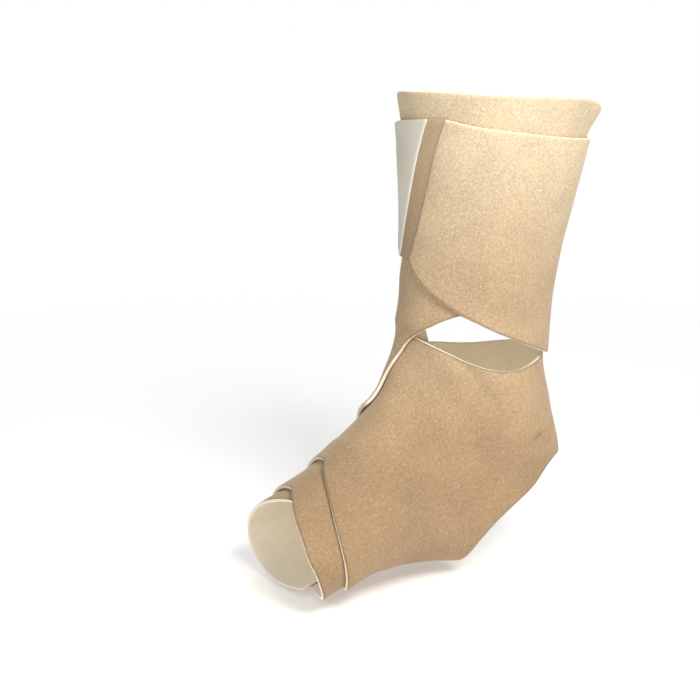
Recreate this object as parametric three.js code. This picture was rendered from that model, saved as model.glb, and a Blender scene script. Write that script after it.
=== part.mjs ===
// A figure-of-eight ankle wrap, in the shape it has when worn on a right foot.
//
// It is cut from a thin foam-backed plush cloth. One turn starts on the top of the foot, a second
// turn lies on it, and an ankle panel open at the heel covers the arch, the instep and the back of
// the ankle. A wrap comes up from the outer side of the foot, crosses the front of the ankle and
// becomes the inner cuff. The outer cuff lies on that and ends beside the shin in a ribbed tape and
// a smooth closure tab, which goes across the shin and is pressed onto the outer cuff's other end.
//
// Millimetres, +Z up the leg, toes along -X, the inner side of the foot along -Y.
// The origin is the centre of the ankle.
//
// A place on the limb is a station and an angle. The station runs from 0 at the front of the wrap,
// under the heel, to 1 at the rim of the cuff. The angle is in degrees round the limb: 0 on top of
// the foot and on the shin, 90 on the inner side, 180 under the sole and behind the leg, -90 or 270
// on the outer side.

import * as THREE from 'three';

// The cloth.
const LAMINATE = 2.0; // foam and plush together
const LAYER_GAP = 0.5; // between one layer and the next
const TAPE_THICKNESS = 1.1;
const TAB_THICKNESS = 1.5;
const SEAM_GAP = 0.4; // between the tape and the pieces on both sides of it
const TAPE_WIDTH = 10;
const TAB_LENGTH_LOW = 56; // beyond the tape, along its low and high edges
const TAB_LENGTH_HIGH = 76;

// The limb that the wrap is wound on.
const SOLE_DROP = 78; // the ankle's centre above the sole
const FOOT_REACH = 118; // the wrap's front edge ahead of the ankle's centre
const FOOT_WIDTH = 82;
const HEEL_REACH = 54; // the back of the heel behind the ankle's centre
const HEEL_WIDTH = 70;
const SHIN_REACH = 33; // the shin ahead of the ankle's centre
const CALF_REACH = 66; // the calf behind it, at the rim
const CALF_WIDTH = 97;
const CUFF_RISE = 178; // the rim above the ankle's centre

// The open heel of the ankle panel, in stations and degrees.
const HEEL_MIDDLE = 0.392;
const HEEL_HALF_LENGTH = 0.116;
const HEEL_HALF_ANGLE = 68;

// How finely the shells are divided.
const ANGLE_STEP = 7.5;
const NORMAL_STEP = 0.002;

const FULL_TURN = 360;
const HALF_TURN = 180;

// Turns rows of numbers into objects with the named columns.
function table(columns, rows) {
  const names = columns.split(' ');
  return rows.map((row) => Object.fromEntries(names.map((name, i) => [name, row[i]])));
}

// The foot's sections. Lengths along X are shares of FOOT_REACH, heights are shares of SOLE_DROP
// and widths are shares of FOOT_WIDTH. The top and bottom of a section are its points on the
// front and back outlines in side view. The waist is where it is widest, from bottom to top.
const SECTION = 'station topX topZ bottomX bottomZ inner outer waist roundTop roundBottom shift';
const FOOT = table(SECTION, [
  [0.0, 1.0, -0.36, 1.0, -0.995, 0.375, 0.6, 0.42, 1.65, 2.3, -0.125],
  [0.08, 0.79, -0.222, 0.763, -0.835, 0.345, 0.58, 0.44, 1.62, 2.1, -0.125],
  [0.16, 0.605, -0.045, 0.525, -0.75, 0.31, 0.52, 0.47, 1.68, 2.0, -0.1],
  [0.24, 0.493, 0.173, 0.237, -0.84, 0.355, 0.488, 0.47, 1.8, 1.9, -0.049],
]);

// The ankle's and heel's. The top is ahead by shares of SHIN_REACH and up by shares of CUFF_RISE,
// the bottom is back by shares of HEEL_REACH and up by shares of SOLE_DROP.
const ANKLE = table(SECTION, [
  [0.33, 1.45, 0.147, 0.33, -0.93, 0.437, 0.537, 0.45, 1.8, 1.9, -0.03],
  [0.42, 1.264, 0.212, 1.0, -0.663, 0.494, 0.537, 0.45, 1.9, 1.9, -0.014],
  [0.5, 1.11, 0.264, 0.963, -0.23, 0.535, 0.55, 0.48, 1.9, 1.8, 0],
  [0.57, 1.04, 0.32, 0.82, 0.158, 0.515, 0.53, 0.5, 1.9, 1.9, 0],
]);

// The leg's. The shin is ahead by shares of SHIN_REACH, the calf is back by shares of CALF_REACH,
// both are up by shares of CUFF_RISE, and widths are shares of CALF_WIDTH.
const LEG = table(SECTION, [
  [0.64, 1.1, 0.388, 0.6, 0.225, 0.325, 0.335, 0.5, 1.9, 1.95, 0],
  [0.71, 1.09, 0.466, 0.614, 0.382, 0.33, 0.34, 0.5, 1.9, 1.95, 0],
  [0.78, 1.02, 0.562, 0.667, 0.545, 0.35, 0.36, 0.5, 1.9, 2.0, 0],
  [0.85, 1.0, 0.702, 0.76, 0.702, 0.392, 0.402, 0.5, 1.9, 2.0, 0],
  [0.92, 1.0, 0.848, 0.823, 0.848, 0.443, 0.454, 0.5, 1.9, 2.1, 0],
  [1.0, 1.09, 1.0, 1.06, 1.0, 0.51, 0.52, 0.5, 2.0, 2.1, 0],
]);

// One section in millimetres.
function section(row, topReach, topHeight, bottomReach, bottomHeight, width) {
  return {
    ...row,
    topX: -row.topX * topReach,
    topZ: row.topZ * topHeight,
    bottomX: row.bottomX * bottomReach,
    bottomZ: row.bottomZ * bottomHeight,
    inner: row.inner * width,
    outer: row.outer * width,
    shift: row.shift * width,
  };
}

const SECTIONS = [
  ...FOOT.map((row) => section(row, FOOT_REACH, SOLE_DROP, -FOOT_REACH, SOLE_DROP, FOOT_WIDTH)),
  ...ANKLE.map((row) => section(row, SHIN_REACH, CUFF_RISE, HEEL_REACH, SOLE_DROP, HEEL_WIDTH)),
  ...LEG.map((row) => section(row, SHIN_REACH, CUFF_RISE, CALF_REACH, CUFF_RISE, CALF_WIDTH)),
];

// The two turns round the foot: the stations of their edges at each angle.
const START_TURN = table('angle low high', [
  [-180, 0.05, 0.13],
  [-130, 0.03, 0.13],
  [-90, 0.02, 0.13],
  [-50, 0.025, 0.13],
  [-20, 0.034, 0.13],
  [0, 0.042, 0.13],
  [20, 0.049, 0.13],
  [50, 0.045, 0.13],
  [97.5, 0.055, 0.13],
]);

const FOOT_TURN = table('angle low high', [
  [-180, 0.064, 0.15],
  [-130, 0.062, 0.15],
  [-90, 0.064, 0.15],
  [-50, 0.06, 0.15],
  [-15, 0.056, 0.15],
  [3, 0.045, 0.15],
  [21, 0.035, 0.15],
  [40, 0.031, 0.15],
  [67, 0.031, 0.15],
  [90, 0.039, 0.15],
  [120, 0.051, 0.15],
  [150, 0.06, 0.15],
  [180, 0.064, 0.15],
]);

// The two turns round the leg, as ribs across the cloth: each row is a rib's end on the low edge
// and its end on the high edge.
const RIB = 'lowAngle low highAngle high';

const INNER_CUFF = table(RIB, [
  [-162, 0.19, -162, 0.255],
  [-138, 0.2, -142, 0.275],
  [-112, 0.212, -121, 0.325],
  [-80, 0.228, -98, 0.43],
  [-46, 0.25, -80, 0.55],
  [-10, 0.268, -66, 0.64],
  [-3, 0.4, -57, 0.72],
  [2.5, 0.522, -57, 0.82],
  [11, 0.578, -57, 0.92],
  [19, 0.605, -56, 1.0],
  [25, 0.62, -34, 0.994],
  [34, 0.642, -8, 1.0],
  [44, 0.66, 17, 1.0],
  [58, 0.678, 44, 0.997],
  [80, 0.695, 75, 0.994],
  [110, 0.7, 110, 0.992],
  [145, 0.7, 145, 0.976],
  [180, 0.7, 180, 0.966],
  [215, 0.7, 215, 0.976],
  [250, 0.7, 250, 0.992],
  [276, 0.702, 276, 0.998],
  [302, 0.706, 303, 1.0],
]);

const OUTER_CUFF = table(RIB, [
  [5.5, 0.762, 31, 0.962],
  [13, 0.736, 42, 0.956],
  [26, 0.706, 54, 0.951],
  [48, 0.674, 72, 0.946],
  [80, 0.655, 96, 0.94],
  [115, 0.648, 122, 0.936],
  [150, 0.644, 150, 0.935],
  [180, 0.642, 180, 0.936],
  [215, 0.646, 215, 0.941],
  [250, 0.656, 250, 0.948],
  [280, 0.67, 280, 0.953],
  [309, 0.69, 309, 0.957],
]);

// The closure tab's outline beyond the tape: how far along the tab, and how much of its height is
// left off at the low and high corners.
const TAB_OUTLINE = table('along lowInset highInset', [
  [0, 0, 0],
  [0.3, 0.04, 0.02],
  [0.6, 0.09, 0.05],
  [0.8, 0.12, 0.07],
  [0.93, 0.15, 0.1],
  [1, 0.27, 0.22],
]);

// The ankle panel's two free edges, as stations round the limb.
const PANEL_EDGES = table('angle front top', [
  [-180, 0.11, 0.658],
  [-150, 0.117, 0.638],
  [-120, 0.123, 0.612],
  [-90, 0.128, 0.588],
  [-60, 0.13, 0.566],
  [-16, 0.125, 0.556],
  [9, 0.102, 0.556],
  [36, 0.09, 0.556],
  [60, 0.083, 0.565],
  [90, 0.08, 0.587],
  [120, 0.085, 0.614],
  [150, 0.097, 0.638],
  [180, 0.11, 0.658],
]);

// How many layers lie beneath the ankle panel and the inner cuff along the limb, and beneath the
// closure tab round it. The inner cuff bridges the bend at the front of the ankle.
const PANEL_LIFT = table('station lift', [
  [0, 2],
  [0.168, 2],
  [0.2, 1.1],
  [0.245, 0.1],
  [0.28, 0],
  [1, 0],
]);

const INNER_LIFT = table('station lift', [
  [0, 2.5],
  [0.19, 2.5],
  [0.22, 1.85],
  [0.25, 1.5],
  [0.3, 1.3],
  [0.4, 1.3],
  [0.48, 1.3],
  [0.55, 1.25],
  [0.595, 1.1],
  [0.64, 0.3],
  [0.68, 0],
  [1, 0],
]);

const OUTER_LIFT = 1.1; // the outer cuff lies over two edges, so it has a little more room

const TAB_LIFT = table('angle lift', [
  [-180, 2.2],
  [-42, 2.2],
  [-22, 1.1],
  [180, 1.1],
]);

// A column of a table at x, as a smooth curve that never swings past its rows.
function read(rows, key, column, x) {
  const last = rows.length - 1;
  let i = 0;
  while (i < last - 1 && x > rows[i + 1][key]) i += 1;
  const span = (k) => rows[k + 1][key] - rows[k][key];
  const rise = (k) => (rows[k + 1][column] - rows[k][column]) / span(k);
  const slope = (k) => {
    if (k === 0) return rise(0);
    if (k === last) return rise(last - 1);
    const before = rise(k - 1);
    const after = rise(k);
    return before * after > 0 ? (2 * before * after) / (before + after) : 0;
  };
  const t = Math.min(Math.max((x - rows[i][key]) / span(i), 0), 1);
  const t2 = t * t;
  const t3 = t2 * t;
  return (
    (2 * t3 - 3 * t2 + 1) * rows[i][column] +
    (t3 - 2 * t2 + t) * span(i) * slope(i) +
    (3 * t2 - 2 * t3) * rows[i + 1][column] +
    (t3 - t2) * span(i) * slope(i + 1)
  );
}

const mix = (a, b, t) => a + (b - a) * t;

// A point on the limb's skin. A section is a superellipse about its waist, whose four quarters
// have their own reach and whose top and bottom have their own roundness.
function skin(station, angle) {
  const at = (column) => read(SECTIONS, 'station', column, station);
  const turn = THREE.MathUtils.degToRad(angle);
  const up = Math.cos(turn);
  const side = Math.sin(turn);
  const rise = new THREE.Vector3(at('topX') - at('bottomX'), 0, at('topZ') - at('bottomZ'));
  const depth = rise.length();
  const waist = at('waist');
  const reach = up >= 0 ? depth * (1 - waist) : depth * waist;
  const width = side >= 0 ? at('inner') : at('outer');
  const power = up >= 0 ? at('roundTop') : at('roundBottom');
  const radius = (Math.abs(up / reach) ** power + Math.abs(side / width) ** power) ** (-1 / power);
  return new THREE.Vector3(at('bottomX'), at('shift') - radius * side, at('bottomZ'))
    .addScaledVector(rise, waist)
    .addScaledVector(rise.normalize(), radius * up);
}

// The limb's outward normal, from four neighbouring points.
function outward(station, angle) {
  const before = Math.max(station - NORMAL_STEP, 0);
  const after = Math.min(station + NORMAL_STEP, 1);
  const turn = FULL_TURN * NORMAL_STEP;
  const along = skin(after, angle).sub(skin(before, angle));
  const round = skin(station, angle + turn).sub(skin(station, angle - turn));
  return round.cross(along).normalize();
}

// A point off the limb by a height in millimetres.
function above(station, angle, height) {
  return skin(station, angle).addScaledVector(outward(station, angle), height);
}

const layers = (lift) => lift * (LAMINATE + LAYER_GAP);

// The angle reached by going a number of millimetres round the limb, towards smaller angles.
function stepRound(station, angle, distance) {
  const perDegree = skin(station, angle + 1).distanceTo(skin(station, angle));
  return angle - distance / perDegree;
}

// A closed shell from a grid of places. Each row of the grid is a list of {station, angle, lift},
// and a row marked closed ends where it began. The inner face lies on the layers beneath, the outer
// face is a thickness above it, and a wall joins them along every free edge.
function shell(rows, thickness) {
  const points = [];
  const index = rows.map((row) => {
    const ids = row.places.map((place) => {
      const base = layers(place.lift);
      points.push([
        above(place.station, place.angle, base + thickness),
        above(place.station, place.angle, base),
      ]);
      return points.length - 1;
    });
    if (row.closed) ids.push(ids[0]);
    return ids;
  });

  const faces = [];
  for (let i = 0; i + 1 < index.length; i += 1) {
    for (let j = 0; j + 1 < index[i].length; j += 1) {
      const [a, b, c, d] = [index[i][j], index[i][j + 1], index[i + 1][j + 1], index[i + 1][j]];
      faces.push([a, b, c], [a, c, d]);
    }
  }

  const edges = new Map();
  for (const [a, b, c] of faces) {
    for (const [from, to] of [[a, b], [b, c], [c, a]]) edges.set(`${from},${to}`, [from, to]);
  }
  const count = points.length;
  const triangles = [];
  for (const [a, b, c] of faces) triangles.push(a, b, c, a + count, c + count, b + count);
  for (const [from, to] of edges.values()) {
    if (edges.has(`${to},${from}`)) continue;
    triangles.push(from, from + count, to + count, from, to + count, to);
  }

  const geometry = new THREE.BufferGeometry();
  const positions = [...points.map((pair) => pair[0]), ...points.map((pair) => pair[1])];
  geometry.setAttribute(
    'position',
    new THREE.Float32BufferAttribute(positions.flatMap((p) => p.toArray()), 3),
  );
  geometry.setIndex(triangles);
  geometry.computeVertexNormals();
  return geometry;
}

// A turn of cloth from its table of ribs: the grid runs along the ribs' low and high edges and
// straight across between them.
function turnRoundLeg(ribs, across, liftAt) {
  const numbered = ribs.map((rib, rank) => ({ ...rib, rank }));
  const last = numbered.length - 1;
  const sweep = ribs[last].highAngle - ribs[0].highAngle;
  const steps = last * Math.round(sweep / ANGLE_STEP / last);
  const at = (column, rank) => read(numbered, 'rank', column, rank);
  const rows = [];
  for (let i = 0; i <= across; i += 1) {
    const v = i / across;
    const places = [];
    for (let j = 0; j <= steps; j += 1) {
      const rank = (last * j) / steps;
      const station = mix(at('low', rank), at('high', rank), v);
      const angle = mix(at('lowAngle', rank), at('highAngle', rank), v);
      places.push({ station, angle, lift: liftAt(station) });
    }
    rows.push({ places });
  }
  return shell(rows, LAMINATE);
}

// A turn round the foot, with its columns on multiples of ANGLE_STEP so that the turns lie
// parallel. It is a ring where its table goes all the way round.
function turnRoundFoot(edges, across, lift) {
  const from = edges[0].angle;
  const sweep = edges[edges.length - 1].angle - from;
  const closed = sweep === FULL_TURN;
  const steps = sweep / ANGLE_STEP;
  const rows = [];
  for (let i = 0; i <= across; i += 1) {
    const places = [];
    for (let j = 0; j < steps + (closed ? 0 : 1); j += 1) {
      const angle = from + j * ANGLE_STEP;
      const at = (column) => read(edges, 'angle', column, angle);
      places.push({ station: mix(at('low'), at('high'), i / across), angle, lift });
    }
    rows.push({ places, closed });
  }
  return shell(rows, LAMINATE);
}

// The ankle panel: a ring at the arch, two sides past the open heel, and a ring behind the ankle.
// The open heel is an ellipse in station and angle. Its rows are spaced by a cosine, so that they
// crowd at both ends of the ellipse, where its outline turns fastest.
function anklePanel() {
  const heelLow = HEEL_MIDDLE - HEEL_HALF_LENGTH;
  const heelHigh = HEEL_MIDDLE + HEEL_HALF_LENGTH;
  const steps = FULL_TURN / ANGLE_STEP;
  const frontRows = 6;
  const heelRows = 10;
  const topRows = 5;
  const rows = [];
  const ring = (stationAt, halfAngle) => {
    const closed = halfAngle === HALF_TURN;
    const places = [];
    for (let j = 0; j < steps + (closed ? 0 : 1); j += 1) {
      const angle = mix(-halfAngle, halfAngle, j / steps);
      const station = stationAt(angle);
      places.push({ station, angle, lift: read(PANEL_LIFT, 'station', 'lift', station) });
    }
    rows.push({ places, closed });
  };
  const edge = (column, angle) => read(PANEL_EDGES, 'angle', column, angle);
  for (let i = 0; i < frontRows; i += 1) {
    ring((angle) => mix(edge('front', angle), heelLow, i / frontRows), HALF_TURN);
  }
  ring(() => heelLow, HALF_TURN);
  for (let i = 1; i < heelRows; i += 1) {
    const turn = (Math.PI * i) / heelRows;
    const station = HEEL_MIDDLE - HEEL_HALF_LENGTH * Math.cos(turn);
    ring(() => station, HALF_TURN - HEEL_HALF_ANGLE * Math.sin(turn));
  }
  for (let i = 0; i <= topRows; i += 1) {
    ring((angle) => mix(heelHigh, edge('top', angle), i / topRows), HALF_TURN);
  }
  return shell(rows, LAMINATE);
}

// A place on the outer cuff's end edge, and one beyond it by a distance round the limb.
function beyondCuff(v, distance) {
  const end = OUTER_CUFF[0];
  const station = mix(end.low, end.high, v);
  return { station, angle: stepRound(station, mix(end.lowAngle, end.highAngle, v), distance) };
}

// The ribbed tape beside the outer cuff's end.
function endTape() {
  const across = 8;
  const along = 2;
  const rows = [];
  for (let i = 0; i <= across; i += 1) {
    const places = [];
    for (let j = along; j >= 0; j -= 1) {
      places.push({ ...beyondCuff(i / across, SEAM_GAP + (TAPE_WIDTH * j) / along), lift: OUTER_LIFT });
    }
    rows.push({ places });
  }
  return shell(rows, TAPE_THICKNESS);
}

// The closure tab beyond the tape, narrowing to its rounded end.
function closureTab() {
  const across = 8;
  const along = 10;
  const root = 2 * SEAM_GAP + TAPE_WIDTH;
  const rows = [];
  for (let i = 0; i <= across; i += 1) {
    const places = [];
    for (let j = along; j >= 0; j -= 1) {
      const share = j / along;
      const at = (column) => read(TAB_OUTLINE, 'along', column, share);
      const v = mix(at('lowInset'), 1 - at('highInset'), i / across);
      const length = mix(TAB_LENGTH_LOW, TAB_LENGTH_HIGH, v);
      const place = beyondCuff(v, root + length * share);
      places.push({ ...place, lift: read(TAB_LIFT, 'angle', 'lift', place.angle) });
    }
    rows.push({ places });
  }
  return shell(rows, TAB_THICKNESS);
}

const plush = new THREE.MeshStandardMaterial({ color: 0xd2b48c, roughness: 0.95, metalness: 0 });
const ribbed = new THREE.MeshStandardMaterial({ color: 0xa88a66, roughness: 0.8, metalness: 0 });
const smooth = new THREE.MeshStandardMaterial({ color: 0xd8d4c8, roughness: 0.5, metalness: 0 });

const wrap = new THREE.Group();

function add(name, geometry, material) {
  const mesh = new THREE.Mesh(geometry, material);
  mesh.name = name;
  wrap.add(mesh);
}

add('start_turn', turnRoundFoot(START_TURN, 4, 0), plush);
add('foot_turn', turnRoundFoot(FOOT_TURN, 4, 1), plush);
add('ankle_panel', anklePanel(), plush);
const innerLift = (station) => read(INNER_LIFT, 'station', 'lift', station);
add('inner_cuff', turnRoundLeg(INNER_CUFF, 12, innerLift), plush);
add('outer_cuff', turnRoundLeg(OUTER_CUFF, 9, () => OUTER_LIFT), plush);
add('end_tape', endTape(), ribbed);
add('closure_tab', closureTab(), smooth);

export default wrap;
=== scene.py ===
import bpy
import numpy as np
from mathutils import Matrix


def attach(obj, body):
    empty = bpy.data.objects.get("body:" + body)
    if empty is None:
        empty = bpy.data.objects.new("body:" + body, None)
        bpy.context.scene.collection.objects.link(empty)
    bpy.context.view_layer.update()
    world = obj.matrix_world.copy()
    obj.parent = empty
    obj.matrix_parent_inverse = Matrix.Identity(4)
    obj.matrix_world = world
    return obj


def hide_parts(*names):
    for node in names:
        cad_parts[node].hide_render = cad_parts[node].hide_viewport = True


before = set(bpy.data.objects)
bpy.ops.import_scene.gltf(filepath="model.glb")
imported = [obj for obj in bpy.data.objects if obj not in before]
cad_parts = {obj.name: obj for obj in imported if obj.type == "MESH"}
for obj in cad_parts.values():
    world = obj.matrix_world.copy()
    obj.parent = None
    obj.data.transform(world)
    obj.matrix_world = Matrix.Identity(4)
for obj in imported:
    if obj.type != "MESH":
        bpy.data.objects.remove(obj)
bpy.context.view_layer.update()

# The cloth, in millimetres.
LAMINATE = 2.0
LAYER_GAP = 0.5
TAPE_THICKNESS = 1.1
TAB_THICKNESS = 1.5
SEAM_GAP = 0.4
TAPE_WIDTH = 10
TAB_LENGTH_LOW = 56
TAB_LENGTH_HIGH = 76

# The tape's ribs and selvedges, the tab's weld, and the band of nap beside a cut edge with painted shade
# low down and a painted highlight at the top.
TAPE_RIBS = 9
TAPE_RIB_HEIGHT = 0.12
TAPE_SELVEDGE = 0.7
TAPE_SELVEDGE_HEIGHT = 0.18
WELD_WIDTH = 1.3
WELD_HEIGHT = 0.3
WELD_SHOULDER = 0.35
EDGE_LIGHT_FROM = 0.2
EDGE_LIGHT_TO = 1.2

# How fine the grain of each surface is, in repeats per metre. The pale tips and the soft clouds of a
# grain are finer and broader than its fibres by these factors.
NAP_FINENESS = 880
THREAD_FINENESS = 1500
KNIT_FINENESS = 1300
PORE_FINENESS = 1900
TIP_FACTOR = 1.25
CLOUD_FACTOR = 0.04

# The parts of a noise's range that are spread out into the grain and into the rare pale tips.
GRAIN_RANGE = (0.3, 0.7)
TIP_RANGE = (0.62, 0.74)

# Where a cut edge goes from foam to nap, as shares of the cloth's thickness.
NAP_SHARES = (0.93, 0.985)

# The limb that the wrap is wound on.
SOLE_DROP = 78
FOOT_REACH = 118
FOOT_WIDTH = 82
HEEL_REACH = 54
HEEL_WIDTH = 70
SHIN_REACH = 33
CALF_REACH = 66
CALF_WIDTH = 97
CUFF_RISE = 178

# The open heel of the ankle panel, in stations and degrees.
HEEL_MIDDLE = 0.392
HEEL_HALF_LENGTH = 0.116
HEEL_HALF_ANGLE = 68

# How finely the cloth is divided, and how its cut edges are rounded.
PITCH = 1.7
CROWDING = 0.6
EDGE_RINGS = 8
EDGE_SQUARENESS = 3.0
EDGE_BULGE = 0.35
EDGE_ROLL = 0.22
EDGE_ROLL_REACH = 1.2

METRES = 0.001
NORMAL_STEP = 0.002
POINTS_AT_ONCE = 4096
FULL_TURN = 360
HALF_TURN = 180

# The camera, in metres and degrees.
CAMERA_PLACE = (-0.309375, -0.540932, 0.187)
CAMERA_TILT = 77
CAMERA_TURN = -24
CAMERA_LENS = 61.71
CAMERA_SENSOR = 36

FLOOR_DROP = 0.0745
FLOOR_REACH = 0.9
FLOOR_FADE_FROM = 0.16
FLOOR_FADE_TO = 0.855
FLOOR_GLOW = 0.3


def table(columns, rows):
    """The rows of numbers as one array for each named column."""
    return dict(zip(columns.split(), np.array(rows, float).T))


SECTION = "station topX topZ bottomX bottomZ inner outer waist roundTop roundBottom shift"

# Lengths along X are shares of FOOT_REACH, heights of SOLE_DROP and widths of FOOT_WIDTH.
FOOT = table(SECTION, [
    [0.0, 1.0, -0.36, 1.0, -0.995, 0.375, 0.6, 0.42, 1.65, 2.3, -0.125],
    [0.08, 0.79, -0.222, 0.763, -0.835, 0.345, 0.58, 0.44, 1.62, 2.1, -0.125],
    [0.16, 0.605, -0.045, 0.525, -0.75, 0.31, 0.52, 0.47, 1.68, 2.0, -0.1],
    [0.24, 0.493, 0.173, 0.237, -0.84, 0.355, 0.488, 0.47, 1.8, 1.9, -0.049],
])

# The top is ahead by shares of SHIN_REACH and up by shares of CUFF_RISE. The bottom is back by
# shares of HEEL_REACH and up by shares of SOLE_DROP. Widths are shares of HEEL_WIDTH.
ANKLE = table(SECTION, [
    [0.33, 1.45, 0.147, 0.33, -0.93, 0.437, 0.537, 0.45, 1.8, 1.9, -0.03],
    [0.42, 1.264, 0.212, 1.0, -0.663, 0.494, 0.537, 0.45, 1.9, 1.9, -0.014],
    [0.5, 1.11, 0.264, 0.963, -0.23, 0.535, 0.55, 0.48, 1.9, 1.8, 0],
    [0.57, 1.04, 0.32, 0.82, 0.158, 0.515, 0.53, 0.5, 1.9, 1.9, 0],
])

# The shin is ahead by shares of SHIN_REACH and the calf back by shares of CALF_REACH. Both are up
# by shares of CUFF_RISE. Widths are shares of CALF_WIDTH.
LEG = table(SECTION, [
    [0.64, 1.1, 0.388, 0.6, 0.225, 0.325, 0.335, 0.5, 1.9, 1.95, 0],
    [0.71, 1.09, 0.466, 0.614, 0.382, 0.33, 0.34, 0.5, 1.9, 1.95, 0],
    [0.78, 1.02, 0.562, 0.667, 0.545, 0.35, 0.36, 0.5, 1.9, 2.0, 0],
    [0.85, 1.0, 0.702, 0.76, 0.702, 0.392, 0.402, 0.5, 1.9, 2.0, 0],
    [0.92, 1.0, 0.848, 0.823, 0.848, 0.443, 0.454, 0.5, 1.9, 2.1, 0],
    [1.0, 1.09, 1.0, 1.06, 1.0, 0.51, 0.52, 0.5, 2.0, 2.1, 0],
])


def in_millimetres(rows, top_reach, top_height, bottom_reach, bottom_height, width):
    """The sections with each share multiplied by the size that it is a share of."""
    sizes = {
        "topX": -top_reach,
        "topZ": top_height,
        "bottomX": bottom_reach,
        "bottomZ": bottom_height,
        "inner": width,
        "outer": width,
        "shift": width,
    }
    return {name: column * sizes.get(name, 1) for name, column in rows.items()}


PARTS_OF_LIMB = [
    in_millimetres(FOOT, FOOT_REACH, SOLE_DROP, -FOOT_REACH, SOLE_DROP, FOOT_WIDTH),
    in_millimetres(ANKLE, SHIN_REACH, CUFF_RISE, HEEL_REACH, SOLE_DROP, HEEL_WIDTH),
    in_millimetres(LEG, SHIN_REACH, CUFF_RISE, CALF_REACH, CUFF_RISE, CALF_WIDTH),
]
SECTIONS = {name: np.concatenate([part[name] for part in PARTS_OF_LIMB]) for name in FOOT}

# The stations of the two turns round the foot, at each angle.
START_TURN = table("angle low high", [
    [-180, 0.05, 0.13],
    [-130, 0.03, 0.13],
    [-90, 0.02, 0.13],
    [-50, 0.025, 0.13],
    [-20, 0.034, 0.13],
    [0, 0.042, 0.13],
    [20, 0.049, 0.13],
    [50, 0.045, 0.13],
    [97.5, 0.055, 0.13],
])

FOOT_TURN = table("angle low high", [
    [-180, 0.064, 0.15],
    [-130, 0.062, 0.15],
    [-90, 0.064, 0.15],
    [-50, 0.06, 0.15],
    [-15, 0.056, 0.15],
    [3, 0.045, 0.15],
    [21, 0.035, 0.15],
    [40, 0.031, 0.15],
    [67, 0.031, 0.15],
    [90, 0.039, 0.15],
    [120, 0.051, 0.15],
    [150, 0.06, 0.15],
    [180, 0.064, 0.15],
])

# The ribs across the two turns round the leg: each rib's end on the low edge and on the high edge.
RIB = "rank lowAngle low highAngle high"

INNER_CUFF = table(RIB, [
    [0, -162, 0.19, -162, 0.255],
    [1, -138, 0.2, -142, 0.275],
    [2, -112, 0.212, -121, 0.325],
    [3, -80, 0.228, -98, 0.43],
    [4, -46, 0.25, -80, 0.55],
    [5, -10, 0.268, -66, 0.64],
    [6, -3, 0.4, -57, 0.72],
    [7, 2.5, 0.522, -57, 0.82],
    [8, 11, 0.578, -57, 0.92],
    [9, 19, 0.605, -56, 1.0],
    [10, 25, 0.62, -34, 0.994],
    [11, 34, 0.642, -8, 1.0],
    [12, 44, 0.66, 17, 1.0],
    [13, 58, 0.678, 44, 0.997],
    [14, 80, 0.695, 75, 0.994],
    [15, 110, 0.7, 110, 0.992],
    [16, 145, 0.7, 145, 0.976],
    [17, 180, 0.7, 180, 0.966],
    [18, 215, 0.7, 215, 0.976],
    [19, 250, 0.7, 250, 0.992],
    [20, 276, 0.702, 276, 0.998],
    [21, 302, 0.706, 303, 1.0],
])

OUTER_CUFF = table(RIB, [
    [0, 5.5, 0.762, 31, 0.962],
    [1, 13, 0.736, 42, 0.956],
    [2, 26, 0.706, 54, 0.951],
    [3, 48, 0.674, 72, 0.946],
    [4, 80, 0.655, 96, 0.94],
    [5, 115, 0.648, 122, 0.936],
    [6, 150, 0.644, 150, 0.935],
    [7, 180, 0.642, 180, 0.936],
    [8, 215, 0.646, 215, 0.941],
    [9, 250, 0.656, 250, 0.948],
    [10, 280, 0.67, 280, 0.953],
    [11, 309, 0.69, 309, 0.957],
])

# The closure tab beyond the tape: how far along it, and the share of its height left off at the
# low and high corners.
TAB_OUTLINE = table("along lowInset highInset", [
    [0, 0, 0],
    [0.3, 0.04, 0.02],
    [0.6, 0.09, 0.05],
    [0.8, 0.12, 0.07],
    [0.93, 0.15, 0.1],
    [1, 0.27, 0.22],
])

# The stations of the ankle panel's two free edges, round the limb.
PANEL_EDGES = table("angle front top", [
    [-180, 0.11, 0.658],
    [-150, 0.117, 0.638],
    [-120, 0.123, 0.612],
    [-90, 0.128, 0.588],
    [-60, 0.13, 0.566],
    [-16, 0.125, 0.556],
    [9, 0.102, 0.556],
    [36, 0.09, 0.556],
    [60, 0.083, 0.565],
    [90, 0.08, 0.587],
    [120, 0.085, 0.614],
    [150, 0.097, 0.638],
    [180, 0.11, 0.658],
])

# How many layers lie beneath the cloth.
PANEL_LIFT = table("station lift", [
    [0, 2],
    [0.168, 2],
    [0.2, 1.1],
    [0.245, 0.1],
    [0.28, 0],
    [1, 0],
])

INNER_LIFT = table("station lift", [
    [0, 2.5],
    [0.19, 2.5],
    [0.22, 1.85],
    [0.25, 1.5],
    [0.3, 1.05],
    [0.55, 1.05],
    [0.595, 1.05],
    [0.64, 0.3],
    [0.68, 0],
    [1, 0],
])

OUTER_LIFT = 1.1

TAB_LIFT = table("angle lift", [
    [-180, 2.2],
    [-42, 2.2],
    [-22, 1.1],
    [180, 1.1],
])

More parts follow.
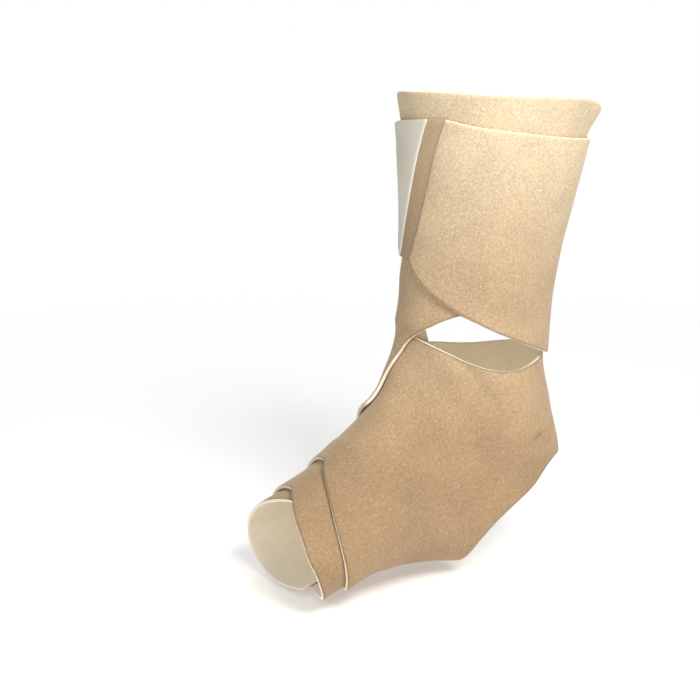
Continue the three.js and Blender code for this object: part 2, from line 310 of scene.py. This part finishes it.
# Soft folds and dents in the worn cloth: the middle of each, its width in stations and its length in
# degrees, the stations that it climbs per degree, and its height in millimetres.
FOLDS = table("station angle width length climb height", [
    [0.514, 115, 0.014, 13, 0.0017, 1.7],
    [0.501, 117, 0.013, 13, 0.0017, -2.1],
    [0.488, 119, 0.014, 12, 0.0017, 1.4],
    [0.55, 42, 0.03, 12, -0.001, -1.2],
    [0.5, 62, 0.035, 12, -0.0012, -1.1],
    [0.62, 75, 0.05, 14, -0.0015, -0.5],
    [0.83, 60, 0.09, 22, 0.001, 0.5],
    [0.74, 110, 0.06, 14, -0.001, -0.6],
    [0.9, 150, 0.05, 16, 0.001, 0.6],
    [0.3, 60, 0.04, 14, 0.002, 0.4],
    [0.22, 40, 0.04, 14, -0.0015, -0.4],
    [0.7, 230, 0.07, 14, 0.001, 0.6],
    [0.85, 275, 0.06, 16, -0.001, -0.5],
    [0.45, 250, 0.04, 14, 0.0015, 0.5],
])

# The nap's dark and light fibres and its pale tips, and the painted highlight on the tab's weld.
NAP_DARK = (0.62, 0.485, 0.325, 1)
NAP_LIGHT = (0.845, 0.685, 0.48, 1)
NAP_TIPS = (0.97, 0.9, 0.73, 1)
WELD_HIGHLIGHT = (0.92, 0.89, 0.8, 1)

# The foam from its pores outward, the tape's threads and the tab's knit, each from dark to light.
FOAM_TINTS = [(0.05, (0.82, 0.7, 0.52)), (0.45, (0.97, 0.88, 0.72))]
THREAD_TINTS = [(0.1, (0.52, 0.37, 0.22)), (0.9, (0.65, 0.47, 0.29))]
KNIT_TINTS = [(0, (0.78, 0.735, 0.6)), (1, (0.87, 0.82, 0.68))]

# Painted light on the nap: darker and browner at the foot, lighter and paler towards the top of the cuff
# where the light falls, as tints at shares of a range of heights.
NAP_HEIGHTS = (-0.06, 0.165)
NAP_PAINTED_LIGHT = [
    (0.0, (0.53, 0.435, 0.345)),
    (0.27, (0.58, 0.484, 0.395)),
    (0.45, (0.709, 0.621, 0.53)),
    (0.66, (0.7, 0.627, 0.546)),
    (0.95, (1.0, 0.99, 0.95)),
]

# The heights between which the painted light beside the nap's cut edges goes from painted shade to
# painted highlight, and the tape's painted shade lightens, and how dark each is at its lowest and
# highest. The same for the nap's clouds and for the painted shade of the tape's grooves, from groove to
# rib.
EDGE_HEIGHTS = (0.12, 0.16)
EDGE_SHADES = (0.68, 1.15)
TAPE_HEIGHTS = (0.09, 0.165)
TAPE_SHADES = (0.72, 1.05)
CLOUD_SHADES = (0.89, 1.08)
RIB_SHADES = (0.8, 1.05)


def read(rows, key, column, x):
    """A column at x, as a cubic through the rows whose slope at each row is the harmonic mean of
    the slopes on both sides, or 0 where they differ in sign, so that it never swings past a row."""
    xs = rows[key]
    ys = rows[column]
    span = np.diff(xs)
    rise = np.diff(ys) / span
    before = rise[:-1]
    after = rise[1:]
    steady = before * after > 0
    total = np.where(steady, before + after, 1)
    inner = np.where(steady, 2 * before * after / total, 0)
    slope = np.concatenate([rise[:1], inner, rise[-1:]])
    i = np.searchsorted(xs[1:-1], x)
    t = np.clip((x - xs[i]) / span[i], 0, 1)
    return (
        (2 * t**3 - 3 * t**2 + 1) * ys[i]
        + (t**3 - 2 * t**2 + t) * span[i] * slope[i]
        + (3 * t**2 - 2 * t**3) * ys[i + 1]
        + (t**3 - t**2) * span[i] * slope[i + 1]
    )


def mix(a, b, t):
    """The value a share t of the way from a to b."""
    return a + (b - a) * t


def unit(vectors):
    """The vectors at length 1."""
    return vectors / np.maximum(np.linalg.norm(vectors, axis=-1, keepdims=True), 1e-12)


def skin(station, angle):
    """The limb's surface. A section is a superellipse about its waist, a point between its top and
    bottom: each quarter has its own reach, and the upper and lower halves their own power."""
    at = {name: read(SECTIONS, "station", name, station) for name in SECTIONS}
    turn = np.radians(angle)
    up = np.cos(turn)
    side = np.sin(turn)
    zero = np.zeros_like(at["topX"])
    bottom = np.stack([at["bottomX"], at["shift"], at["bottomZ"]], -1)
    rise = np.stack([at["topX"] - at["bottomX"], zero, at["topZ"] - at["bottomZ"]], -1)
    depth = np.linalg.norm(rise, axis=-1)
    reach = np.where(up >= 0, depth * (1 - at["waist"]), depth * at["waist"])
    width = np.where(side >= 0, at["inner"], at["outer"])
    power = np.where(up >= 0, at["roundTop"], at["roundBottom"])
    radius = (np.abs(up / reach) ** power + np.abs(side / width) ** power) ** (-1 / power)
    sideways = np.stack([zero, -radius * side, zero], -1)
    upwards = unit(rise) * (radius * up)[..., None]
    return bottom + rise * at["waist"][..., None] + upwards + sideways


def outward(station, angle):
    """The limb's outward normal, from four neighbouring points."""
    before = np.maximum(station - NORMAL_STEP, 0)
    after = np.minimum(station + NORMAL_STEP, 1)
    turn = FULL_TURN * NORMAL_STEP
    along = skin(after, angle) - skin(before, angle)
    around = skin(station, angle + turn) - skin(station, angle - turn)
    return unit(np.cross(around, along))


def folds(station, angle):
    """The height of the folds: a sum of bell shapes, each about a line that climbs as it goes round.
    All the layers share it, so they keep their distance."""
    height = np.zeros(np.shape(station))
    for middle, around, width, length, climb, top in zip(*FOLDS.values()):
        turn = (angle - around + HALF_TURN) % FULL_TURN - HALF_TURN
        off = (station - middle - climb * turn) / width
        height += top * np.exp(-2 * off**2 - 0.5 * (turn / length) ** 2)
    return height


def layers(lift):
    """The height of a number of layers of cloth."""
    return lift * (LAMINATE + LAYER_GAP)


def crowded(count):
    """Shares from 0 to 1 whose steps get shorter towards both ends."""
    t = np.linspace(0, 1, count + 1)
    return mix(t, (1 - np.cos(np.pi * t)) / 2, CROWDING)


def step_round(station, angle, distance):
    """The angle reached by going some millimetres round the limb, towards smaller angles."""
    step = skin(station, angle + 1) - skin(station, angle)
    return angle - distance / np.linalg.norm(step, axis=-1)


def distance_to_rim(points, rim):
    """Each point's distance to the nearest of the rim's points, a few thousand at a time."""
    near = np.empty(len(points))
    for start in range(0, len(points), POINTS_AT_ONCE):
        part = points[start:start + POINTS_AT_ONCE]
        square = (part**2).sum(1)[:, None] + (rim**2).sum(1) - 2 * part @ rim.T
        near[start:start + POINTS_AT_ONCE] = np.sqrt(np.maximum(square.min(1), 0))
    return near


def open_edges(quads, count):
    """The directed edges of the quads that no other quad goes along the other way."""
    ahead = np.concatenate([quads[:, [i, (i + 1) % 4]] for i in range(4)])
    key = ahead[:, 0] * count + ahead[:, 1]
    back = ahead[:, 1] * count + ahead[:, 0]
    return ahead[~np.isin(key, back)]


def cloth(name, node, grid, thickness, relief=None):
    """A closed shell from a grid of places. Its inner face lies on the layers beneath and its outer
    face a thickness above. The thickness falls a little towards the free edges, and each free edge
    is closed by rings on a superellipse about the middle of its wall. A relief adds height to the
    outer face."""
    station, angle, lift = grid["station"], grid["angle"], grid["lift"]
    rows, columns = station.shape
    index = np.arange(rows * columns).reshape(rows, columns)
    index[grid["closed"], -1] = index[grid["closed"], 0]
    quads = np.stack([index[:-1, :-1], index[:-1, 1:], index[1:, 1:], index[1:, :-1]], -1)
    used, quads = np.unique(quads.reshape(-1, 4), return_inverse=True)
    quads = quads.reshape(-1, 4)
    count = len(used)
    station, angle, lift = (value.ravel()[used] for value in (station, angle, lift))
    along = grid["along"].ravel()[used]

    base = skin(station, angle)
    normal = outward(station, angle)
    height = layers(lift) + folds(station, angle)
    edges = open_edges(quads, count)
    rim = np.unique(edges)
    lap = distance_to_rim(base + normal * height[:, None], base[rim] + normal[rim] * height[rim, None])
    top = height + thickness - EDGE_ROLL * np.exp(-lap / EDGE_ROLL_REACH)
    if relief is not None:
        top = top + relief(along)
    outer = base + normal * top[:, None]
    inner = base + normal * height[:, None]

    sides = np.zeros((count, 3))
    side = unit(np.cross(outer[edges[:, 1]] - outer[edges[:, 0]], normal[edges[:, 0]]))
    np.add.at(sides, edges[:, 0], side)
    np.add.at(sides, edges[:, 1], side)
    sides = unit(sides[rim])
    middle = (outer[rim] + inner[rim]) / 2
    half = (outer[rim] - inner[rim]) / 2
    turns = np.linspace(np.pi / 2, -np.pi / 2, EDGE_RINGS + 1)[1:-1]
    power = 2 / EDGE_SQUARENESS
    heights = np.sign(np.sin(turns)) * np.abs(np.sin(turns)) ** power
    bulges = np.abs(np.cos(turns)) ** power * EDGE_BULGE
    rings = middle + half * heights[:, None, None] + sides * bulges[:, None, None]

    order = np.zeros(count, int)
    order[rim] = np.arange(len(rim))
    first = 2 * count + np.arange(len(turns))[:, None] * len(rim)
    levels = np.concatenate([rim[None], first + np.arange(len(rim)), rim[None] + count])
    start, end = order[edges[:, 0]], order[edges[:, 1]]
    walls = np.stack([levels[:-1, start], levels[1:, start], levels[1:, end], levels[:-1, end]], -1)

    points = np.concatenate([outer, inner, rings.reshape(-1, 3)]) * METRES
    faces = np.concatenate([quads, quads[:, ::-1] + count, walls.reshape(-1, 4)])
    ring_layer = np.repeat((heights + 1) / 2, len(rim))
    values = {
        "layer": np.concatenate([np.ones(count), np.zeros(count), ring_layer]),
        "lap": np.concatenate([lap, lap, np.zeros(len(ring_layer))]) * METRES,
        "along": np.concatenate([along, along, np.tile(along[rim], len(turns))]) * METRES,
    }
    piece = mesh_piece(name, points, faces, values)
    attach(piece, "root")
    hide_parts(node)
    return piece


def mesh_piece(name, points, faces, values):
    """An object from arrays of points, four-cornered faces and point values."""
    mesh = bpy.data.meshes.new(name)
    mesh.vertices.add(len(points))
    mesh.vertices.foreach_set("co", points.ravel())
    mesh.loops.add(faces.size)
    mesh.loops.foreach_set("vertex_index", faces.ravel())
    mesh.polygons.add(len(faces))
    mesh.polygons.foreach_set("loop_start", np.arange(0, faces.size, 4))
    mesh.update(calc_edges=True)
    for key, value in values.items():
        mesh.attributes.new(key, "FLOAT", "POINT").data.foreach_set("value", value)
    mesh.shade_smooth()
    mesh.validate()
    piece = bpy.data.objects.new(name, mesh)
    bpy.context.scene.collection.objects.link(piece)
    return piece


def lengths(station, angle, lift):
    """How far each place of a grid is along its row, in millimetres."""
    points = skin(station, angle) + outward(station, angle) * layers(lift)[..., None]
    steps = np.linalg.norm(np.diff(points, axis=1), axis=-1)
    return np.concatenate([np.zeros((len(steps), 1)), np.cumsum(steps, axis=1)], axis=1)


def grid_of(station, angle, lift, closed=False):
    """A grid of places with its distances along the rows."""
    return {
        "station": station,
        "angle": angle,
        "lift": lift,
        "closed": np.broadcast_to(closed, station.shape[0]),
        "along": lengths(station, angle, lift),
    }


def steps_for(length):
    """The number of steps of about one pitch in a length."""
    return int(round(length / PITCH))


def turn_round_leg(ribs, width, length, lift_at):
    """A turn of cloth whose grid runs along the ribs' low and high ends, straight across between."""
    rank = ribs["rank"][-1] * crowded(steps_for(length))
    v = crowded(steps_for(width))[:, None]
    at = {name: read(ribs, "rank", name, rank) for name in ribs}
    station = mix(at["low"], at["high"], v)
    angle = mix(at["lowAngle"], at["highAngle"], v)
    return grid_of(station, angle, lift_at(station))


def turn_round_foot(edges, width, length, lift):
    """A turn between the two edges of its table. It is a ring where the table goes all round."""
    first, last = edges["angle"][[0, -1]]
    closed = last - first == FULL_TURN
    share = np.linspace(0, 1, steps_for(length) + 1) if closed else crowded(steps_for(length))
    angle = mix(first, last, share)
    v = crowded(steps_for(width))[:, None]
    station = mix(read(edges, "angle", "low", angle), read(edges, "angle", "high", angle), v)
    angle = angle + 0 * v
    return grid_of(station, angle, lift + 0 * station, closed)


def ankle_panel(front_width, heel_length, top_width, length):
    """Rings from the front edge to the open heel, rows that stop at the heel's ellipse, and rings
    from there to the top edge. The heel's rows crowd at both ends of the ellipse."""
    heel_low = HEEL_MIDDLE - HEEL_HALF_LENGTH
    heel_high = HEEL_MIDDLE + HEEL_HALF_LENGTH
    u = np.linspace(-1, 1, steps_for(length) + 1)
    ring = HALF_TURN * u
    front_edge = read(PANEL_EDGES, "angle", "front", ring)
    top_edge = read(PANEL_EDGES, "angle", "top", ring)
    front = mix(front_edge, heel_low, crowded(steps_for(front_width))[:, None])
    top = mix(heel_high, top_edge, crowded(steps_for(top_width))[:, None])
    turn = np.linspace(0, np.pi, steps_for(heel_length) + 1)[1:-1, None]
    heel = HEEL_MIDDLE - HEEL_HALF_LENGTH * np.cos(turn) + 0 * u
    heel_angle = (HALF_TURN - HEEL_HALF_ANGLE * np.sin(turn)) * u
    station = np.concatenate([front, heel, top])
    angle = np.concatenate([ring + 0 * front, heel_angle, ring + 0 * top])
    closed = np.abs(angle[:, 0]) == HALF_TURN
    return grid_of(station, angle, read(PANEL_LIFT, "station", "lift", station), closed)


def beyond_cuff(v, distance):
    """Places some millimetres round the limb from the outer cuff's end edge."""
    end = {name: column[0] for name, column in OUTER_CUFF.items()}
    station = mix(end["low"], end["high"], v) + 0 * distance
    angle = mix(end["lowAngle"], end["highAngle"], v) + 0 * distance
    return station, step_round(station, angle, distance)


def end_tape(height, columns):
    """The tape beside the outer cuff's end, a few millimetres wide."""
    v = crowded(steps_for(height))[:, None]
    share = np.linspace(1, 0, columns + 1)
    station, angle = beyond_cuff(v, SEAM_GAP + TAPE_WIDTH * share)
    return grid_of(station, angle, OUTER_LIFT + 0 * station)


def closure_tab(height, length):
    """The tab beyond the tape, narrowing to its rounded end, measured along from its root."""
    root = 2 * SEAM_GAP + TAPE_WIDTH
    share = crowded(steps_for(length))[::-1]
    low = read(TAB_OUTLINE, "along", "lowInset", share)
    high = 1 - read(TAB_OUTLINE, "along", "highInset", share)
    v = mix(low, high, crowded(steps_for(height))[:, None])
    station, angle = beyond_cuff(v, root + mix(TAB_LENGTH_LOW, TAB_LENGTH_HIGH, v) * share)
    grid = grid_of(station, angle, read(TAB_LIFT, "angle", "lift", angle))
    grid["along"] = grid["along"][:, -1:] - grid["along"]
    return grid


def tape_relief(along):
    """Ribs along the tape as a cosine across its width, and a rounded selvedge on both sides."""
    ribs = TAPE_RIB_HEIGHT * np.cos(2 * np.pi * TAPE_RIBS * along / TAPE_WIDTH)
    side = np.minimum(along, TAPE_WIDTH - along)
    return ribs + TAPE_SELVEDGE_HEIGHT * np.exp(-((side / TAPE_SELVEDGE) ** 2))


def tab_relief(along):
    """A flat weld along the tab's root that falls to the tab through a soft shoulder."""
    return WELD_HEIGHT / (1 + np.exp((along - WELD_WIDTH) / (WELD_SHOULDER / 2)))


def material(name, colour, roughness):
    """A material, its node tree and its Principled shader."""
    made = bpy.data.materials.new(name)
    made.use_nodes = True
    shader = made.node_tree.nodes["Principled BSDF"]
    shader.inputs["Base Color"].default_value = (*colour, 1)
    shader.inputs["Roughness"].default_value = roughness
    made.diffuse_color = (*colour, 1)
    return made, made.node_tree, shader


def node(tree, kind, inputs=None, **settings):
    """A node with its settings, and its inputs set or linked by name or number."""
    made = tree.nodes.new(kind)
    for key, value in settings.items():
        setattr(made, key, value)
    for key, value in (inputs or {}).items():
        if isinstance(value, bpy.types.NodeSocket):
            tree.links.new(value, made.inputs[key])
        else:
            made.inputs[key].default_value = value
    return made


def ramp(tree, value, stops):
    """A colour that goes from each stop's colour to the next as the value rises."""
    made = node(tree, "ShaderNodeValToRGB", {"Fac": value})
    elements = made.color_ramp.elements
    elements.remove(elements[1])
    for index, (place, colour) in enumerate(stops):
        element = elements.new(place) if index else elements[0]
        element.position = place
        element.color = (*colour, 1)
    return made.outputs["Color"]


def blend(tree, share, below, above, kind="MIX"):
    """Two colours mixed or multiplied by a share."""
    made = node(tree, "ShaderNodeMix", {0: share, 6: below, 7: above}, data_type="RGBA", blend_type=kind)
    return made.outputs[2]


def between(tree, value, low, high, first=0.0, last=1.0):
    """A value carried from the range low to high into the range first to last."""
    inputs = {0: value, 1: low, 2: high, 3: first, 4: last}
    return node(tree, "ShaderNodeMapRange", inputs).outputs[0]


def noise(tree, place, scale, detail, roughness):
    """The value of a noise at a place."""
    inputs = {"Vector": place, "Scale": scale, "Detail": detail, "Roughness": roughness}
    return node(tree, "ShaderNodeTexNoise", inputs).outputs["Fac"]


def fibre_group():
    """The grain of short fibres at any scale: fine light and dark fibre ends, rare pale tips, broad
    soft clouds where the nap lies differently, and the height of the fibre ends."""
    tree = bpy.data.node_groups.new("fibre_grain", "ShaderNodeTree")
    tree.interface.new_socket("Place", in_out="INPUT", socket_type="NodeSocketVector")
    tree.interface.new_socket("Scale", in_out="INPUT", socket_type="NodeSocketFloat")
    for name in ("Grain", "Tips", "Clouds", "Height"):
        tree.interface.new_socket(name, in_out="OUTPUT", socket_type="NodeSocketFloat")
    given = node(tree, "NodeGroupInput")
    place, scale = given.outputs["Place"], given.outputs["Scale"]
    broad = node(tree, "ShaderNodeMath", {0: scale, 1: CLOUD_FACTOR}, operation="MULTIPLY").outputs[0]
    small = node(tree, "ShaderNodeMath", {0: scale, 1: TIP_FACTOR}, operation="MULTIPLY").outputs[0]
    ends = noise(tree, place, scale, detail=2, roughness=0.6)
    tips = noise(tree, place, small, detail=1, roughness=0.5)
    soft = noise(tree, place, broad, detail=3, roughness=0.5)
    pale = between(tree, tips, *TIP_RANGE)
    lift = node(tree, "ShaderNodeMath", {0: ends, 1: pale}, operation="ADD").outputs[0]
    given_out = node(tree, "NodeGroupOutput")
    tree.links.new(between(tree, ends, *GRAIN_RANGE), given_out.inputs["Grain"])
    tree.links.new(pale, given_out.inputs["Tips"])
    tree.links.new(between(tree, soft, *GRAIN_RANGE), given_out.inputs["Clouds"])
    tree.links.new(lift, given_out.inputs["Height"])
    return tree


def fibres(tree, place, scale):
    """The outputs of the fibre group, placed in a material."""
    made = node(tree, "ShaderNodeGroup", node_tree=FIBRES)
    tree.links.new(place, made.inputs["Place"])
    made.inputs["Scale"].default_value = scale
    return made.outputs


def finish_bump(tree, shader, height, strength, distance):
    """A bump from a height, on the shader's normal."""
    made = node(tree, "ShaderNodeBump", {"Height": height, "Strength": strength, "Distance": distance})
    tree.links.new(made.outputs["Normal"], shader.inputs["Normal"])


def plush_material():
    """Foam-backed plush: a short tan nap with pale tips, and painted light that makes it darker and
    browner at the foot and paler towards the top of the cuff. Beside the cut edges a painted shadow line
    darkens it, and a painted highlight lightens it at the top. Cream foam shows at those edges and
    inside."""
    made, tree, shader = material("plush_laminate", (0.58, 0.42, 0.26), 0.92)
    place = node(tree, "ShaderNodeTexCoord").outputs["Object"]
    layer = node(tree, "ShaderNodeAttribute", attribute_name="layer").outputs["Fac"]
    nap = fibres(tree, place, NAP_FINENESS)
    height = node(tree, "ShaderNodeSeparateXYZ", {0: place}).outputs["Z"]
    up_leg = between(tree, height, *NAP_HEIGHTS)
    fibre = blend(tree, nap["Grain"], NAP_DARK, NAP_LIGHT)
    speckled = blend(tree, nap["Tips"], fibre, NAP_TIPS)
    # Painted light: the nap darker and browner low down, lighter and paler towards the top of the cuff.
    lit_by_height = blend(tree, 1.0, speckled, ramp(tree, up_leg, NAP_PAINTED_LIGHT), "MULTIPLY")
    clouds = between(tree, nap["Clouds"], 0, 1, *CLOUD_SHADES)
    lap = node(tree, "ShaderNodeAttribute", attribute_name="lap").outputs["Fac"]
    # Painted shade along the cut edges low down, and a painted highlight along them at the top.
    edge = between(tree, height, *EDGE_HEIGHTS, *EDGE_SHADES)
    painted_edge_light = between(tree, lap, EDGE_LIGHT_FROM * METRES, EDGE_LIGHT_TO * METRES, edge, 1)
    clouded = blend(tree, 1.0, lit_by_height, clouds, "MULTIPLY")
    plush = blend(tree, 1.0, clouded, painted_edge_light, "MULTIPLY")
    pores = node(tree, "ShaderNodeTexVoronoi", {"Vector": place, "Scale": PORE_FINENESS})
    foam = ramp(tree, pores.outputs["Distance"], FOAM_TINTS)
    face = between(tree, layer, *NAP_SHARES)
    tree.links.new(blend(tree, face, foam, plush), shader.inputs["Base Color"])
    finish_bump(tree, shader, nap["Height"], 0.45, 0.0003)
    shader.inputs["Sheen Weight"].default_value = 0.25
    shader.inputs["Sheen Roughness"].default_value = 0.5
    shader.inputs["Sheen Tint"].default_value = (1.0, 0.92, 0.78, 1)
    shader.inputs["Specular IOR Level"].default_value = 0.2
    return made


def tape_material():
    """Woven tape: ribs along it with painted shade in their grooves, painted shade that darkens it
    towards the bottom, and a matt thread grain.
    """
    made, tree, shader = material("ribbed_tape", (0.42, 0.29, 0.18), 0.8)
    along = node(tree, "ShaderNodeAttribute", attribute_name="along").outputs["Fac"]
    place = node(tree, "ShaderNodeTexCoord").outputs["Object"]
    turn = 2 * np.pi * TAPE_RIBS / (TAPE_WIDTH * METRES)
    wave = node(tree, "ShaderNodeMath", {0: along, 1: turn}, operation="MULTIPLY").outputs[0]
    rib = node(tree, "ShaderNodeMath", {0: wave}, operation="COSINE").outputs[0]
    threads = fibres(tree, place, THREAD_FINENESS)
    tint = ramp(tree, threads["Grain"], THREAD_TINTS)
    # Painted shade in the grooves between the tape's ribs.
    shade = between(tree, rib, -1, 1, *RIB_SHADES)
    height = node(tree, "ShaderNodeSeparateXYZ", {0: place}).outputs["Z"]
    # Painted shade: the tape darker towards the bottom.
    tape_shade_by_height = between(tree, height, *TAPE_HEIGHTS, *TAPE_SHADES)
    ribbed = blend(tree, 1.0, tint, shade, "MULTIPLY")
    tree.links.new(blend(tree, 1.0, ribbed, tape_shade_by_height, "MULTIPLY"), shader.inputs["Base Color"])
    finish_bump(tree, shader, threads["Height"], 0.3, 0.0002)
    shader.inputs["Sheen Weight"].default_value = 0.1
    return made


def tab_material():
    """Smooth pale laminate with a faint knit, and a painted highlight on its weld."""
    made, tree, shader = material("smooth_tab", (0.6, 0.57, 0.5), 0.5)
    place = node(tree, "ShaderNodeTexCoord").outputs["Object"]
    along = node(tree, "ShaderNodeAttribute", attribute_name="along").outputs["Fac"]
    knit = fibres(tree, place, KNIT_FINENESS)
    tint = ramp(tree, knit["Clouds"], KNIT_TINTS)
    # Painted highlight along the tab's weld.
    weld = between(tree, along, 2 * WELD_WIDTH * METRES, WELD_WIDTH * METRES)
    tree.links.new(blend(tree, weld, tint, WELD_HIGHLIGHT), shader.inputs["Base Color"])
    finish_bump(tree, shader, knit["Height"], 0.12, 0.0002)
    shader.inputs["Specular IOR Level"].default_value = 0.4
    return made


FIBRES = fibre_group()
PLUSH = plush_material()
RIBBED = tape_material()
SMOOTH = tab_material()

# The widths and lengths here only set how many steps a grid has.
start_turn = cloth(
    "start_turn_cloth", "start_turn",
    turn_round_foot(START_TURN, width=24, length=190, lift=0), LAMINATE,
)
foot_turn = cloth(
    "foot_turn_cloth", "foot_turn",
    turn_round_foot(FOOT_TURN, width=26, length=270, lift=1), LAMINATE,
)
panel = cloth(
    "ankle_panel_cloth", "ankle_panel",
    ankle_panel(front_width=50, heel_length=110, top_width=50, length=300), LAMINATE,
)
inner_cuff = cloth(
    "inner_cuff_cloth", "inner_cuff",
    turn_round_leg(
        INNER_CUFF, width=110, length=620,
        lift_at=lambda station: read(INNER_LIFT, "station", "lift", station),
    ), LAMINATE,
)
outer_cuff = cloth(
    "outer_cuff_cloth", "outer_cuff",
    turn_round_leg(
        OUTER_CUFF, width=100, length=330,
        lift_at=lambda station: OUTER_LIFT + 0 * station,
    ), LAMINATE,
)
tape = cloth(
    "end_tape_ribbed", "end_tape",
    end_tape(height=70, columns=72), TAPE_THICKNESS, tape_relief,
)
tab = cloth(
    "closure_tab_smooth", "closure_tab",
    closure_tab(height=66, length=70), TAB_THICKNESS, tab_relief,
)

for piece in (start_turn, foot_turn, panel, inner_cuff, outer_cuff):
    piece.data.materials.append(PLUSH)
tape.data.materials.append(RIBBED)
tab.data.materials.append(SMOOTH)


def studio_floor():
    """A flat square of pale paper that fades out before its edge."""
    points = np.array([[-1, -1, 0], [1, -1, 0], [1, 1, 0], [-1, 1, 0]]) * FLOOR_REACH
    points = points - np.array([0, 0, FLOOR_DROP])
    floor = mesh_piece("studio_floor", points, np.array([[0, 1, 2, 3]]), {})
    made, tree, shader = material("studio_paper", (0.93, 0.93, 0.93), 0.9)
    place = node(tree, "ShaderNodeTexCoord").outputs["Object"]
    away = node(tree, "ShaderNodeVectorMath", {0: place}, operation="LENGTH").outputs["Value"]
    shade = between(tree, away, FLOOR_FADE_FROM, FLOOR_FADE_TO, 1, 0)
    tree.links.new(shade, shader.inputs["Alpha"])
    shader.inputs["Emission Color"].default_value = (1, 1, 1, 1)
    shader.inputs["Emission Strength"].default_value = FLOOR_GLOW
    floor.data.materials.append(made)


def area_light(name, place, target, size, power, colour=(1, 1, 1)):
    """A square lamp at a place, facing a target."""
    lamp = bpy.data.lights.new(name, "AREA")
    lamp.energy = power
    lamp.size = size
    lamp.color = colour
    made = bpy.data.objects.new(name, lamp)
    made.location = place
    away = np.array(place) - np.array(target)
    flat = np.hypot(away[0], away[1])
    made.rotation_euler = (np.arctan2(flat, away[2]), 0, np.arctan2(away[1], away[0]) + np.pi / 2)
    bpy.context.scene.collection.objects.link(made)


def studio_air(seen, cast):
    """A white surround: as bright as seen by the camera, and dimmer as it lights the pieces."""
    world = bpy.data.worlds.new("studio_air")
    world.use_nodes = True
    tree = world.node_tree
    looks = node(tree, "ShaderNodeLightPath").outputs["Is Camera Ray"]
    strength = between(tree, looks, 0, 1, cast, seen)
    background = tree.nodes["Background"]
    background.inputs["Color"].default_value = (1, 1, 1, 1)
    tree.links.new(strength, background.inputs["Strength"])
    bpy.context.scene.world = world


def studio_camera():
    """The camera at the photograph's place."""
    lens = bpy.data.cameras.new("camera")
    lens.lens = CAMERA_LENS
    lens.sensor_width = CAMERA_SENSOR
    lens.dof.use_dof = False
    lens.clip_start = 0.01
    camera = bpy.data.objects.new("camera", lens)
    camera.location = CAMERA_PLACE
    camera.rotation_euler = (np.radians(CAMERA_TILT), 0, np.radians(CAMERA_TURN))
    bpy.context.scene.collection.objects.link(camera)
    bpy.context.scene.camera = camera


studio_floor()
studio_air(seen=1.0, cast=0.34)
area_light(
    "key_light", place=(0, -0.52, 0.56), target=(0, 0, 0.13), size=0.26, power=4.6,
    colour=(1, 0.985, 0.96),
)
area_light("fill_light", place=(-1, -0.5, 0.45), target=(0, 0, 0.03), size=0.9, power=2.6)
area_light("back_light", place=(0.5, 1.1, 0.9), target=(0, 0, 0.05), size=1, power=5)
studio_camera()
bpy.context.scene.view_settings.view_transform = "Standard"
